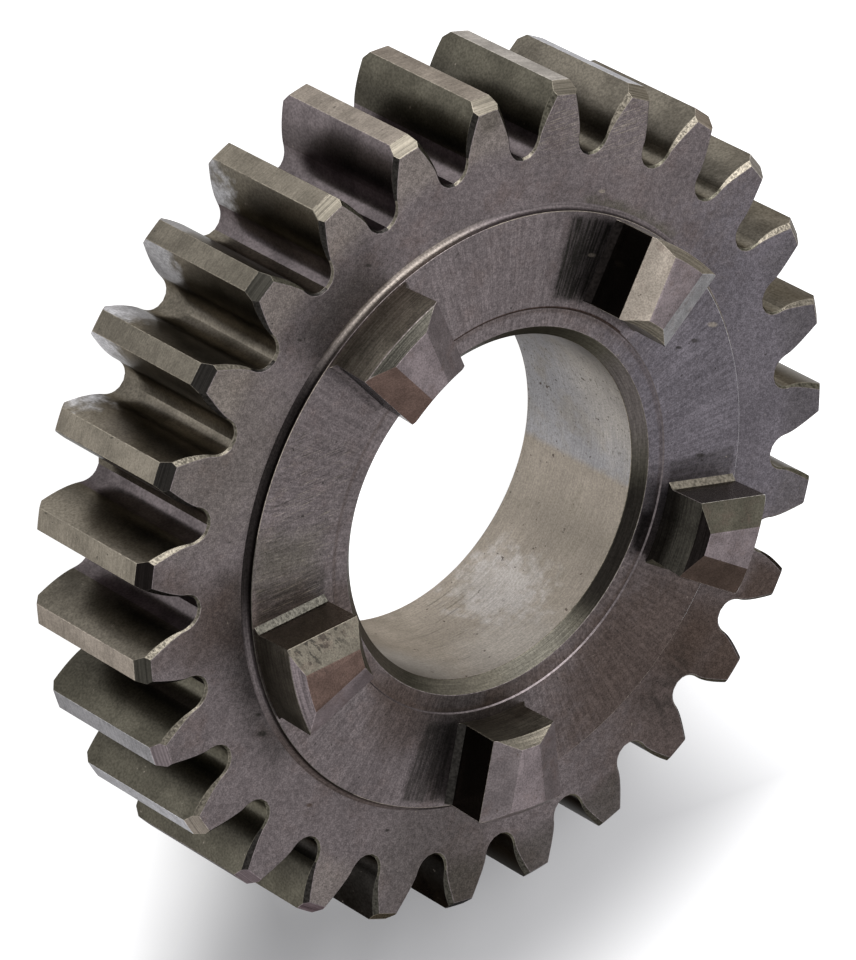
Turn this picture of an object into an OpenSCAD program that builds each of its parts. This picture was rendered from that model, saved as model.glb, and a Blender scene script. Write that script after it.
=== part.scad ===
// Transmission gear with spur teeth round its rim and five driving dogs on its front face,
// machined from one piece of steel. Its back face lies on z = 0, its bore runs along Z,
// and one of the dogs is centred on +X.

/* [Teeth] */
// Number of teeth
teeth = 27; // [25:1:36]
// Module, the pitch diameter divided by the number of teeth
tooth_module = 2.5; // [2.35:0.05:2.8]
// Pressure angle of the teeth, in degrees
pressure_angle = 17.5; // [17:0.5:20]
// Height of the teeth above the pitch circle
addendum = 2.75; // [2.4:0.05:3]
// Depth of the tooth gaps below the pitch circle
dedendum = 3.15; // [2.9:0.05:3.4]
// How much thicker than half a pitch each tooth is, along the pitch circle
tooth_growth = 0.11; // [-0.1:0.01:0.3]
// Turn of the first tooth away from the first dog, in degrees
tooth_phase = 5.5; // [0:0.1:13]
// Width of the toothed ring along the axis
ring_width = 14.3; // [12:0.1:20]

/* [Broken edges of the teeth] */
// Length along the axis of the cone turned on the tooth tips at the front
front_cone_length = 1.05; // [0.4:0.05:1.5]
// Depth of that cone, measured along the radius
front_cone_depth = 0.95; // [0.4:0.05:1.3]
// Length along the axis of the cone on the tooth tips at the back
back_cone_length = 0.6; // [0.3:0.05:1.2]
// Depth of the cone at the back, measured along the radius
back_cone_depth = 0.65; // [0.3:0.05:1.2]
// Width of the bevel on the front edge of each flank, at the tooth tip
flank_bevel = 0.3; // [0.2:0.02:0.5]

/* [Hub] */
// Diameter of the raised face that carries the dogs
hub_d = 51.8; // [51:0.1:54]
// Height of that face above the front of the toothed ring
hub_rise = 0.72; // [0.6:0.02:1.5]
// Radius of the turned fillet at the foot of the hub
hub_fillet = 0.5; // [0.2:0.05:0.6]
// Diameter of the shallow step round the bore
step_d = 35.3; // [34.4:0.1:36.4]
// Depth of that step
step_depth = 0.11; // [0.05:0.01:0.4]

/* [Bore] */
// Diameter of the bore that runs on the shaft
bore_d = 30; // [26:0.1:31]
// Size of the 45 degree chamfer at the front of the bore
front_bore_chamfer = 1; // [0.3:0.05:1.4]
// Size of the 45 degree chamfer at the back of the bore
back_bore_chamfer = 0.65; // [0.3:0.05:1.4]

/* [Dogs] */
// Number of dogs
dogs = 5; // [3:1:7]
// Height of the dogs above the hub face
dog_height = 5.1; // [4:0.1:7]
// Angle that a dog takes up at its foot, in degrees
dog_angle = 19; // [16:0.5:26]
// Distance of the dogs' outer wall from the edge of the hub face
dog_margin = 0.2; // [0.05:0.05:0.6]
// Thickness of the dogs along the radius
dog_depth = 7.2; // [6.4:0.1:7.6]
// Size of the 45 degree cones on the dogs' outer and inner edges
dog_cone = 0.82; // [0.4:0.02:1.2]
// Lean of the driving flanks, which makes the dogs hold in engagement, in degrees
flank_lean = 2.4; // [0:0.1:5]
// Width of the sloping shoulder on each side of a dog's top
shoulder_width = 2.24; // [1.6:0.02:2.6]
// Slope of those shoulders, in degrees
shoulder_slope = 21.5; // [10:0.5:30]
// Size of the 45 degree strip along the foot of each flank
flank_foot = 0.5; // [0.2:0.05:0.8]

/* [Hidden] */
pitch_r = teeth * tooth_module / 2;
base_r = pitch_r * cos(pressure_angle);
tip_r = pitch_r + addendum;
tooth_step = 360 / teeth;
hub_r = hub_d / 2;
hub_z = ring_width + hub_rise;
dog_outer_r = hub_r - dog_margin;
dog_inner_r = dog_outer_r - dog_depth;

// The hob's rack tooth has a full round tip, so the gap's width and depth settle the tip's radius
half_gap = (PI * tooth_module / 2 - tooth_growth) / 2;
hob_tip_r = (half_gap - dedendum * tan(pressure_angle)) / (1 / cos(pressure_angle) - tan(pressure_angle));
hob_tip_depth = dedendum - hob_tip_r;
// Turn of the gear while the hob's round tip leaves the middle of the gap and reaches the flank
root_roll = hob_tip_depth / tan(pressure_angle) / pitch_r * 180 / PI;
root_steps = 6;
flank_steps = 5;

// How far cutting shapes run past the surface that they cut, and the size of a shape that only bounds
past = 0.2;
vast = 100;
$fn = 180;

// Involute function in degrees, and the angle between a gap's middle and its flank at one radius
function involute(a) = tan(a) * 180 / PI - a;
function flank_angle(r) =
    half_gap / pitch_r * 180 / PI - involute(pressure_angle) + involute(acos(base_r / r));
function flank_point(r) = r * [cos(flank_angle(r)), sin(flank_angle(r))];

// The root that the hob's round tip leaves behind: its centre rolls past and the arc's far side cuts
function turned(p, a) = [p.x * cos(a) - p.y * sin(a), p.x * sin(a) + p.y * cos(a)];
function root_point(roll) =
    let (centre = [-hob_tip_depth, pitch_r * roll * PI / 180])
    turned([pitch_r, 0] + centre * (1 + hob_tip_r / norm(centre)), -roll);

// One side of a gap from the middle of its root to past the tooth tip, and the whole gap
root_end_r = norm(root_point(root_roll));
root_side = [for (i = [0 : root_steps]) root_point(root_roll * i / root_steps)];
flank_side = [for (i = [1 : flank_steps])
    flank_point(root_end_r + (tip_r + past - root_end_r) * i / flank_steps)];
gap_side = concat(root_side, flank_side);
gap_outline = concat(
    [for (i = [len(gap_side) - 1 : -1 : 1]) [gap_side[i].x, -gap_side[i].y]],
    gap_side
);

// Places one copy in the middle of every tooth gap
module at_gaps() {
    for (i = [0 : teeth - 1]) rotate(tooth_phase + (i + 0.5) * tooth_step) children();
}

// Everything below the X axis's plane, once it is leaned about X: bounds one side of a dog
module below_plane(lean) {
    rotate([lean, 0, 0]) translate([-vast / 2, -vast, -vast / 2]) cube(vast);
}

// The turned blank: toothed ring, raised hub with a fillet at its foot, and the shallow step
module blank() {
    fillet = min(hub_fillet, hub_rise);
    rotate_extrude() difference() {
        polygon([
            [0, 0],
            [tip_r - back_cone_depth, 0],
            [tip_r, back_cone_length],
            [tip_r, ring_width - front_cone_length],
            [tip_r - front_cone_depth, ring_width],
            [hub_r + fillet, ring_width],
            [hub_r + fillet, ring_width + fillet],
            [hub_r, ring_width + fillet],
            [hub_r, hub_z],
            [step_d / 2, hub_z],
            [step_d / 2, hub_z - step_depth],
            [0, hub_z - step_depth]
        ]);
        translate([hub_r + fillet, ring_width + fillet]) circle(fillet, $fn = 48);
    }
}

// The hobbed section, past the blank at both ends and at the tooth tips
module hobbed_section() {
    outline = [for (i = [0 : teeth - 1]) for (p = gap_outline)
        turned(p, tooth_phase + (i + 0.5) * tooth_step)];
    translate([0, 0, -past]) linear_extrude(hub_z + 2 * past) polygon(outline);
}

// Flat bevel that a deburring cutter leaves on the front edge of a flank, which it runs out of at the root
module flank_bevel_cut() {
    foot = flank_point(root_end_r) - [0, flank_bevel / 2];
    top = flank_point(tip_r) + [0, flank_bevel];
    run = top - foot;
    cutter = hob_tip_r;
    translate([foot.x, foot.y, ring_width]) rotate(atan2(run.y, run.x))
        rotate([135, 0, 0]) translate([0, 0, -past]) cube([norm(run) + past, cutter, cutter]);
}

module toothed_blank() {
    difference() {
        intersection() {
            blank();
            hobbed_section();
        }
        at_gaps() for (side = [0, 1]) mirror([0, side, 0]) flank_bevel_cut();
    }
}

// Section of the dogs along the radius, turned all round before the gaps between them are milled
module dog_ring() {
    root = hub_rise / 2;
    wall = dog_height - dog_cone;
    translate([0, 0, hub_z]) rotate_extrude() polygon([
        [dog_inner_r, -root],
        [dog_outer_r, -root],
        [dog_outer_r, wall],
        [dog_outer_r - dog_cone, dog_height],
        [dog_inner_r + dog_cone, dog_height],
        [dog_inner_r, wall]
    ]);
}

// Half space on one side of a dog: its leaning flank and its sloping shoulder
module dog_side() {
    rotate(dog_angle / 2) translate([0, 0, hub_z]) {
        intersection() {
            below_plane(-flank_lean);
            translate([0, -shoulder_width, dog_height]) below_plane(90 - shoulder_slope);
        }
    }
}

// The 45 degree strip along the foot of a flank
module dog_foot() {
    reach = flank_foot + hub_rise;
    rotate(dog_angle / 2) translate([0, 0, hub_z]) rotate([90, 0, 90]) linear_extrude(hub_d)
        polygon([[-flank_foot, -hub_rise], [reach, -hub_rise], [-flank_foot, 2 * flank_foot]]);
}

module dog() {
    intersection() {
        dog_ring();
        union() {
            intersection() {
                dog_side();
                mirror([0, 1, 0]) dog_side();
                translate([0, -vast / 2, 0]) cube(vast);
            }
            dog_foot();
            mirror([0, 1, 0]) dog_foot();
        }
    }
}

// The running bore, with a chamfer at each end
module bore() {
    front = front_bore_chamfer + past;
    back = back_bore_chamfer + past;
    face_z = hub_z - step_depth;
    translate([0, 0, -past]) cylinder(d = bore_d, h = hub_z + 2 * past);
    translate([0, 0, face_z - front_bore_chamfer])
        cylinder(r1 = bore_d / 2, r2 = bore_d / 2 + front, h = front);
    translate([0, 0, -past]) cylinder(r1 = bore_d / 2 + back, r2 = bore_d / 2, h = back);
}

module gear() {
    color([0.55, 0.52, 0.51]) difference() {
        union() {
            toothed_blank();
            for (i = [0 : dogs - 1]) rotate(i * 360 / dogs) dog();
        }
        bore();
    }
}

gear();
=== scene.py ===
import math
from collections import namedtuple

import bmesh
import bpy
from mathutils import Matrix, Vector


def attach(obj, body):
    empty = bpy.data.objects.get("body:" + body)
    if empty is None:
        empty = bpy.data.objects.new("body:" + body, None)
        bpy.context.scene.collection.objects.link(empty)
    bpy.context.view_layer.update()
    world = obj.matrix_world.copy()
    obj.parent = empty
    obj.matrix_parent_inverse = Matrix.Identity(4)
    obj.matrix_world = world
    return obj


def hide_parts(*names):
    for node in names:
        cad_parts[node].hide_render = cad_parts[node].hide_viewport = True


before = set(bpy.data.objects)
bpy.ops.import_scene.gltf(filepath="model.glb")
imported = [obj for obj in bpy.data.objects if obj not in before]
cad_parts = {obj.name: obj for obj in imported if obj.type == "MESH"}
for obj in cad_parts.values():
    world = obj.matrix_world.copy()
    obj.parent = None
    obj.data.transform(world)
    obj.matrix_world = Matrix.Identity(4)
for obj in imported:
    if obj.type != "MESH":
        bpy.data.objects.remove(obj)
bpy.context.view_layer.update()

# Studio: one large soft lamp, a weak one above and a white surround that lights weakly from all sides.
# The camera sees the face with the dogs obliquely and is rolled, as the gear stands in the picture.
CAMERA_PLACE = Vector((-0.46623, 0.14622, 0.47021))
VIEW_DIRECTION = Vector((0.69162, -0.21771, -0.68867))
PICTURE_RIGHT = Vector((0.72054, 0.27362, 0.63714))
LENS = 308.0
SENSOR = 36.0
SURROUND_LIGHT = 0.45

scene = bpy.context.scene
scene.view_settings.view_transform = "Standard"

camera_data = bpy.data.cameras.new("camera")
camera_data.lens = LENS
camera_data.sensor_width = SENSOR
camera = bpy.data.objects.new("camera", camera_data)
picture_up = PICTURE_RIGHT.cross(VIEW_DIRECTION).normalized()
turn = Matrix((PICTURE_RIGHT.normalized(), picture_up, -VIEW_DIRECTION.normalized())).transposed()
camera.matrix_world = Matrix.Translation(CAMERA_PLACE) @ turn.to_4x4()
scene.collection.objects.link(camera)
scene.camera = camera


def soft_lamp(name, azimuth, elevation, distance, size, power):
    """A square area lamp that looks at the gear from a direction in degrees."""
    a, e = math.radians(azimuth), math.radians(elevation)
    away = Vector((math.cos(a) * math.cos(e), math.sin(a) * math.cos(e), math.sin(e)))
    data = bpy.data.lights.new(name, "AREA")
    data.shape = "SQUARE"
    data.size = size
    data.energy = power
    lamp = bpy.data.objects.new(name, data)
    lamp.location = away * distance
    lamp.rotation_mode = "QUATERNION"
    lamp.rotation_quaternion = (-away).to_track_quat("-Z", "Y")
    scene.collection.objects.link(lamp)


soft_lamp("key_lamp", azimuth=98, elevation=34, distance=1.2, size=0.8, power=11)
soft_lamp("top_lamp", azimuth=10, elevation=72, distance=1.4, size=0.8, power=3)


def seen_as_backdrop(tree, plain, seen):
    """A strength that is one value where the camera or a reflection looks and a plainer one elsewhere."""
    ray = tree.nodes.new("ShaderNodeLightPath")
    looked_at = tree.nodes.new("ShaderNodeMath")
    looked_at.operation = "MAXIMUM"
    strength = tree.nodes.new("ShaderNodeMapRange")
    strength.inputs["To Min"].default_value = plain
    strength.inputs["To Max"].default_value = seen
    tree.links.new(ray.outputs["Is Camera Ray"], looked_at.inputs[0])
    tree.links.new(ray.outputs["Is Glossy Ray"], looked_at.inputs[1])
    tree.links.new(looked_at.outputs[0], strength.inputs["Value"])
    return strength.outputs["Result"]


world = bpy.data.worlds.new("studio")
scene.world = world
world.use_nodes = True
sky_light = world.node_tree.nodes["Background"]
sky_light.inputs["Color"].default_value = (1, 1, 1, 1)
surround = seen_as_backdrop(world.node_tree, plain=SURROUND_LIGHT, seen=1.0)
world.node_tree.links.new(surround, sky_light.inputs["Strength"])

# Toothed ring: 27 spur teeth hobbed into a turned blank of case-hardened steel.
# A cone is turned on the tooth tips at both ends, and the front edges of the flanks and roots are
# broken by a deburring cutter. All sizes are in millimetres until the mesh is finished.
TEETH = 27
TOOTH_MODULE = 2.5
PRESSURE_ANGLE = math.radians(17.5)
ADDENDUM = 2.75
DEDENDUM = 3.15
TOOTH_GROWTH = 0.11
FIRST_TOOTH = math.radians(5.5)
RING_WIDTH = 14.3
FRONT_CONE_LENGTH = 1.05
FRONT_CONE_DEPTH = 0.95
BACK_CONE_LENGTH = 0.6
PITCH_R = TEETH * TOOTH_MODULE / 2
BASE_R = PITCH_R * math.cos(PRESSURE_ANGLE)
TIP_R = PITCH_R + ADDENDUM
HALF_STEP = math.pi / TEETH
HALF_GAP = (math.pi * TOOTH_MODULE / 2 - TOOTH_GROWTH) / 2
HOB_TIP_R = (HALF_GAP - DEDENDUM * math.tan(PRESSURE_ANGLE)) / (
    1 / math.cos(PRESSURE_ANGLE) - math.tan(PRESSURE_ANGLE)
)
HOB_DEPTH = DEDENDUM - HOB_TIP_R
ROOT_ROLL = HOB_DEPTH / math.tan(PRESSURE_ANGLE) / PITCH_R
# Broken edge: its width where root and flank meet, what it gains in the root and on the flank, and the
# share of a half wave that it swells by along the flank
EDGE_WIDTH = 0.14
ROOT_EDGE_GAIN = 0.05
FLANK_EDGE_GAIN = 0.24
FLANK_EDGE_SWELL = 0.7
BACK_RIM_R = PITCH_R - DEDENDUM - 0.8
HUB_R = 25.9
HUB_FILLET = 0.5
# Short way along the flank, as a radius, and along the root, as a roll, that gives the direction of its outline
FLANK_RUN = 0.01
ROOT_RUN = 0.001
# Faces along the turned circles for each tooth, and across and along the walls of its gaps
TURNED_COLUMNS = 10
ROOT_COLUMNS = 8
FLANK_COLUMNS = 9
WALL_ROWS = 16
ACROSS = 4
MM_PER_METRE = 1000.0

corner_numbers = {}
corners = []
faces = []
finishes = {}


def steel(red, green, blue):
    """A colour of the steel, given as the display values 0 to 255."""
    return tuple(((v / 255 + 0.055) / 1.055) ** 2.4 for v in (red, green, blue))


def corner(x, y, z):
    """Number of the corner at a place, which is new only if no face has used the place before."""
    key = (round(x, 4), round(y, 4), round(z, 4))
    if key not in corner_numbers:
        corner_numbers[key] = len(corners)
        corners.append((x, y, z))
    return corner_numbers[key]


def face(points, finish, colour):
    """One face through places given as x, y, z. Corners that fall together are used once."""
    loop = []
    for p in points:
        number = corner(*p)
        if number not in loop:
            loop.append(number)
    if len(loop) > 2:
        faces.append((loop, finish, colour))


def grid(rows, finish, colour):
    """Faces between rows of places of the same length."""
    for low, high in zip(rows, rows[1:]):
        for i in range(len(low) - 1):
            face((low[i], low[i + 1], high[i + 1], high[i]), finish, colour)


def polar(r, angle, z):
    """Place at a radius, an angle round the bore and a height."""
    return (r * math.cos(angle), r * math.sin(angle), z)


def steps(low, high, count):
    """Evenly spaced values from low to high, both included."""
    return [low + (high - low) * i / count for i in range(count + 1)]


def involute(angle):
    """Involute function of an angle."""
    return math.tan(angle) - angle


def flank_point(r):
    """Point of a flank, measured from the middle of its gap."""
    angle = HALF_GAP / PITCH_R - involute(PRESSURE_ANGLE) + involute(math.acos(BASE_R / r))
    return Vector((r * math.cos(angle), r * math.sin(angle)))


def root_point(roll):
    """Point of the root that the round tip of the hob leaves after the gear has turned by a roll."""
    centre = Vector((-HOB_DEPTH, PITCH_R * roll))
    cut = Vector((PITCH_R, 0)) + centre * (1 + HOB_TIP_R / centre.length)
    cut.rotate(Matrix.Rotation(-roll, 2))
    return cut


ROOT_END_R = root_point(ROOT_ROLL).length
ROOT_R = PITCH_R - DEDENDUM


def edge_break(r):
    """Width of the broken front edge, which is narrow where root and flank meet."""
    s = (r - ROOT_END_R) / (TIP_R - ROOT_END_R)
    if s < 0:
        return EDGE_WIDTH + ROOT_EDGE_GAIN * (ROOT_END_R - r) / (ROOT_END_R - ROOT_R)
    return EDGE_WIDTH + FLANK_EDGE_GAIN * math.sin(math.pi * FLANK_EDGE_SWELL * s)


def solve(low, high, value):
    """Radius between two at which a rising value passes zero."""
    for _ in range(40):
        middle = (low + high) / 2
        low, high = (low, middle) if value(middle) > 0 else (middle, high)
    return (low + high) / 2


def inward(run):
    """Direction that points from the gap into the metal beside a short run of its outline."""
    return Vector((-run.y, run.x)).normalized()


def front_drop(r):
    """How far the cone on the tooth tips lies below the front face."""
    return max(0.0, r - TIP_R + FRONT_CONE_DEPTH) * FRONT_CONE_LENGTH / FRONT_CONE_DEPTH


def flank_edge(r):
    """Place of a flank's broken edge on the front face."""
    run = flank_point(r + FLANK_RUN) - flank_point(r - FLANK_RUN)
    return flank_point(r) + inward(run) * edge_break(r)


def root_edge(roll):
    """Place of the root's broken edge on the front face."""
    here = root_point(roll)
    run = root_point(roll + ROOT_RUN) - root_point(roll - ROOT_RUN)
    sideways = inward(run)
    return here + sideways * math.copysign(edge_break(here.length), -sideways.x)


cone_start = TIP_R - FRONT_CONE_DEPTH
edge_end = solve(cone_start - 0.5, TIP_R, lambda r: flank_edge(r).length - cone_start)
cone_foot = solve(cone_start, TIP_R, lambda r: front_drop(r) - edge_break(r))
flank_radii = steps(ROOT_END_R, edge_end, FLANK_COLUMNS)[1:] + [cone_foot, (cone_foot + TIP_R) / 2, TIP_R]

# One side of a gap from the middle of its root to the tooth tip. Each column has its place, the place of its
# broken edge on the front face, and the heights at which the wall starts and ends.
Column = namedtuple("Column", "place edge bottom top")
columns = []
for roll in steps(0, ROOT_ROLL, ROOT_COLUMNS - 1):
    here = root_point(roll)
    columns.append(Column(here, root_edge(roll), 0.0, RING_WIDTH - edge_break(here.length)))
for r in flank_radii:
    edge = flank_edge(r) if r <= edge_end + 1e-6 else None
    bottom = BACK_CONE_LENGTH * max(0.0, r - cone_foot) / (TIP_R - cone_foot)
    columns.append(Column(flank_point(r), edge, bottom, RING_WIDTH - max(edge_break(r), front_drop(r))))
last_edge = max(i for i, c in enumerate(columns) if c.edge is not None)

# Tones of the steel, from grey over bluish, brown and green to bright and black. The bright ones serve for wear
# and for painted highlights, the black one for oil and for painted shade.
PLAIN = steel(98, 91, 92)
LILAC = steel(114, 105, 107)
BLUISH = steel(96, 92, 98)
REDDISH = steel(91, 75, 69)
BROWN = steel(68, 58, 53)
UMBER = steel(50, 39, 35)
OLIVE = steel(80, 77, 68)
STONE = steel(98, 93, 84)
SAND = steel(112, 106, 96)
CREAM = steel(132, 124, 115)
PALE = steel(164, 159, 153)
PEARL = steel(138, 137, 139)
SILVER = steel(178, 178, 182)
GLINT_WHITE = steel(222, 222, 226)
SMOKE = steel(61, 59, 54)
CHARCOAL = steel(42, 40, 38)
OIL_AND_SHADE_BLACK = steel(26, 23, 22)
# Tones from one tooth to another, counted round from the first dog: painted light and shade, lighter on teeth
# that face the light and darker on those that face away or lie in shade, over some real stains and wear. A tone
# holds until the next tooth that is listed. They are those of the tips, of the cones on them, and of the walls
# and their broken edges, where -1 is the clockwise side of a tooth.
LAND_TONES = {
    6: SILVER, 7: PALE, 8: CREAM, 10: SAND, 11: STONE, 13: SAND, 15: CREAM, 16: PEARL, 17: SILVER, 18: PLAIN
}
CONE_TONES = {
    0: CHARCOAL, 2: CREAM, 3: PALE, 5: CREAM, 6: SAND, 9: STONE, 11: SMOKE, 12: CHARCOAL, 14: OIL_AND_SHADE_BLACK,
    15: SMOKE, 16: LILAC, 17: CREAM, 18: LILAC, 20: SAND, 21: CHARCOAL
}
FLANK_TONES = {
    -1: {0: STONE, 11: SAND, 15: STONE, 16: OLIVE, 20: CHARCOAL, 24: OLIVE},
    1: {0: STONE, 7: OLIVE, 9: PLAIN, 10: STONE, 12: SAND, 13: STONE},
}
FLANK_EDGE_TONES = {
    -1: {0: OLIVE, 12: STONE, 18: CHARCOAL, 20: SMOKE},
    1: {0: OLIVE, 2: SAND, 7: OLIVE, 8: CHARCOAL},
}
ROOT_TONES = {0: STONE, 7: PLAIN, 11: SAND, 14: PLAIN, 16: OLIVE, 19: CHARCOAL, 24: OLIVE}
ROOT_EDGE_TONES = {-1: {0: OLIVE, 7: CHARCOAL, 13: STONE, 18: OLIVE}, 1: {0: OLIVE, 7: STONE, 13: OLIVE}}


def tone_of(tones, tooth):
    """The tone that starts at this tooth or at the last listed one before it."""
    return tones[max((t for t in tones if t <= tooth), default=max(tones))]


def beside_tooth(middle, point, z, side):
    """A place of the gap beside the tooth at an angle, on its clockwise or counter-clockwise side."""
    return polar(point.length, middle + side * (HALF_STEP - math.atan2(point.y, point.x)), z)


def across(r, z, first, last):
    """Places across a tooth at one radius, between two that are there already."""
    a, b = (math.atan2(p[1], p[0]) for p in (first, last))
    b += math.tau * round((a - b) / math.tau)
    return [first] + [polar(r, t, z) for t in steps(a, b, ACROSS)[1:-1]] + [last]


for tooth in range(TEETH):
    middle = FIRST_TOOTH + tooth * 2 * HALF_STEP
    walls, fronts = {}, {}
    for side in (-1, 1):
        wall = []
        for c in columns:
            wall.append([beside_tooth(middle, c.place, z, side) for z in steps(c.bottom, c.top, WALL_ROWS)])
        grid(wall[:ROOT_COLUMNS], "root", tone_of(ROOT_TONES, tooth))
        grid(wall[ROOT_COLUMNS - 1 :], "flank", tone_of(FLANK_TONES[side], tooth))
        front = [beside_tooth(middle, c.edge, RING_WIDTH, side) for c in columns[: last_edge + 1]]
        tops = [column[-1] for column in wall]
        root_tone, flank_tone = (tone_of(t[side], tooth) for t in (ROOT_EDGE_TONES, FLANK_EDGE_TONES))
        grid([tops[:ROOT_COLUMNS], front[:ROOT_COLUMNS]], "broken_edge", root_tone)
        grid([tops[ROOT_COLUMNS - 1 : last_edge + 1], front[ROOT_COLUMNS - 1 :]], "broken_edge", flank_tone)
        face((tops[last_edge], tops[last_edge + 1], front[last_edge]), "broken_edge", flank_tone)
        walls[side], fronts[side] = wall, front
    land = [across(TIP_R, a[2], a, b) for a, b in zip(walls[-1][-1], walls[1][-1])]
    grid(land, "land", tone_of(LAND_TONES, tooth))
    front_rows = [across(cone_start, RING_WIDTH, fronts[-1][-1], fronts[1][-1])]
    back_rows = []
    for column, clockwise, counter in list(zip(columns, walls[-1], walls[1]))[last_edge + 1 :]:
        front_rows.append(across(column.place.length, column.top, clockwise[-1], counter[-1]))
        back_rows.append(across(column.place.length, column.bottom, clockwise[0], counter[0]))
    grid(front_rows, "tip_cone", tone_of(CONE_TONES, tooth))
    grid(back_rows, "tip_cone", PLAIN)
    turned = [middle + a for a in steps(-HALF_STEP, HALF_STEP, TURNED_COLUMNS)]
    foot = [polar(HUB_R + HUB_FILLET, a, RING_WIDTH) for a in turned]
    face(fronts[-1] + front_rows[0] + fronts[1][::-1] + foot[::-1], "ring_face", PLAIN)
    back_rim = [[column[0] for column in walls[side][: last_edge + 2]] for side in (-1, 1)]
    back_inner = [polar(BACK_RIM_R, a, 0.0) for a in turned]
    face(back_rim[0] + back_rows[0] + back_rim[1][::-1] + back_inner[::-1], "back_face", PLAIN)


def feed(tree, socket, value):
    """Gives a socket a number, a vector, a colour or another node's output."""
    if isinstance(value, bpy.types.NodeSocket):
        tree.links.new(value, socket)
    elif isinstance(value, tuple) and socket.type == "RGBA":
        socket.default_value = value + (1.0,)
    else:
        socket.default_value = value


def add(tree, kind, settings=None, **values):
    """Adds a shader node with its settings and input values."""
    made = tree.nodes.new("ShaderNode" + kind)
    for name, setting in (settings or {}).items():
        setattr(made, name, setting)
    for name, value in values.items():
        feed(tree, made.inputs[name.replace("_", " ")], value)
    return made


def reckon(tree, operation, *values):
    """One step of arithmetic between nodes."""
    made = add(tree, "Math", {"operation": operation})
    for socket, value in zip(made.inputs, values):
        feed(tree, socket, value)
    return made.outputs[0]


def reckon_vector(tree, operation, *values):
    """One step of arithmetic with vectors, which gives a vector or, for a length or product, a number."""
    made = add(tree, "VectorMath", {"operation": operation})
    for socket, value in zip(made.inputs, values):
        feed(tree, socket, value)
    return made.outputs["Value" if operation in ("LENGTH", "DOT_PRODUCT") else "Vector"]


def scaled(tree, place, factor):
    """A vector or colour times a number."""
    return add(tree, "VectorMath", {"operation": "SCALE"}, Vector=place, Scale=factor).outputs[0]


def fade(tree, value, start, end):
    """0 at the start, 1 at the end and smooth between them."""
    settings = {"interpolation_type": "SMOOTHSTEP"}
    return add(tree, "MapRange", settings, Value=value, From_Min=start, From_Max=end).outputs["Result"]


def noise(tree, place, detail=2.0, roughness=0.5, depth=None):
    """Smooth noise round 0.5 with bumps about one unit wide, in three or with a depth in four dimensions."""
    made = add(tree, "TexNoise", {"noise_dimensions": "3D" if depth is None else "4D"})
    for name, value in (("Vector", place), ("Scale", 1.0), ("Detail", detail), ("Roughness", roughness)):
        feed(tree, made.inputs[name], value)
    if depth is not None:
        feed(tree, made.inputs["W"], depth)
    return made.outputs[0]


def new_group(name, inputs, outputs):
    """A node group with named inputs and outputs: its tree, what it is given and what it puts out."""
    tree = bpy.data.node_groups.new(name, "ShaderNodeTree")
    for in_out, sockets in (("INPUT", inputs), ("OUTPUT", outputs)):
        for socket_name, value in sockets.items():
            kind = "NodeSocketVector" if isinstance(value, tuple) else "NodeSocketFloat"
            tree.interface.new_socket(socket_name, in_out=in_out, socket_type=kind).default_value = value
    return tree, tree.nodes.new("NodeGroupInput").outputs, tree.nodes.new("NodeGroupOutput").inputs


def group_node(tree, name, **values):
    """Places a shared group with its input values and gives its outputs."""
    made = tree.nodes.new("ShaderNodeGroup")
    made.node_tree = bpy.data.node_groups[name]
    for socket_name, value in values.items():
        feed(tree, made.inputs[socket_name.replace("_", " ")], value)
    return made.outputs


# Where a point lies on the gear: in millimetres, as a radius and a height, and as a heading from the bore
tree, given, result = new_group(
    "place_on_gear", {}, {"Place": (0, 0, 0), "Heading": (0, 0, 0), "Radius": 0.0, "Height": 0.0, "Angle": 0.0}
)
here = scaled(tree, add(tree, "TexCoord").outputs["Object"], MM_PER_METRE)
parts = add(tree, "SeparateXYZ", Vector=here).outputs
flat_place = add(tree, "CombineXYZ", X=parts["X"], Y=parts["Y"]).outputs[0]
feed(tree, result["Place"], here)
feed(tree, result["Heading"], reckon_vector(tree, "NORMALIZE", flat_place))
feed(tree, result["Radius"], reckon_vector(tree, "LENGTH", flat_place))
feed(tree, result["Height"], parts["Z"])
feed(tree, result["Angle"], reckon(tree, "ARCTAN2", parts["Y"], parts["X"]))

# Fine grain of ground and hardened steel
tree, given, result = new_group("grain", {"Size": 0.15}, {"Grain": 0.0})
here = scaled(tree, group_node(tree, "place_on_gear")["Place"], reckon(tree, "DIVIDE", 1.0, given["Size"]))
feed(tree, result["Grain"], fade(tree, noise(tree, here), start=0.25, end=0.75))

# Broad clouds of oxide and oil
tree, given, result = new_group("clouds", {"Size": 6.0, "Cover": 0.5}, {"Cloud": 0.0})
here = scaled(tree, group_node(tree, "place_on_gear")["Place"], reckon(tree, "DIVIDE", 1.0, given["Size"]))
edge = reckon(tree, "SUBTRACT", 0.85, reckon(tree, "MULTIPLY", given["Cover"], 0.7))
low, high = reckon(tree, "SUBTRACT", edge, 0.12), reckon(tree, "ADD", edge, 0.12)
feed(tree, result["Cloud"], fade(tree, noise(tree, here, detail=4.0, roughness=0.62), low, high))

# Lines that a turning tool leaves: fine along the radius and the height, long round the gear
tree, given, result = new_group("turning_lines", {"Spacing": 0.12, "Sweep": 3.0}, {"Lines": 0.0})
place_now = group_node(tree, "place_on_gear")
out = add(tree, "CombineXYZ", Z=reckon(tree, "DIVIDE", place_now["Radius"], given["Spacing"])).outputs[0]
here = reckon_vector(tree, "ADD", scaled(tree, place_now["Heading"], given["Sweep"]), out)
depth = reckon(tree, "DIVIDE", place_now["Height"], given["Spacing"])
lines = noise(tree, here, detail=2.0, roughness=0.6, depth=depth)
feed(tree, result["Lines"], fade(tree, lines, start=0.32, end=0.68))

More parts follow.
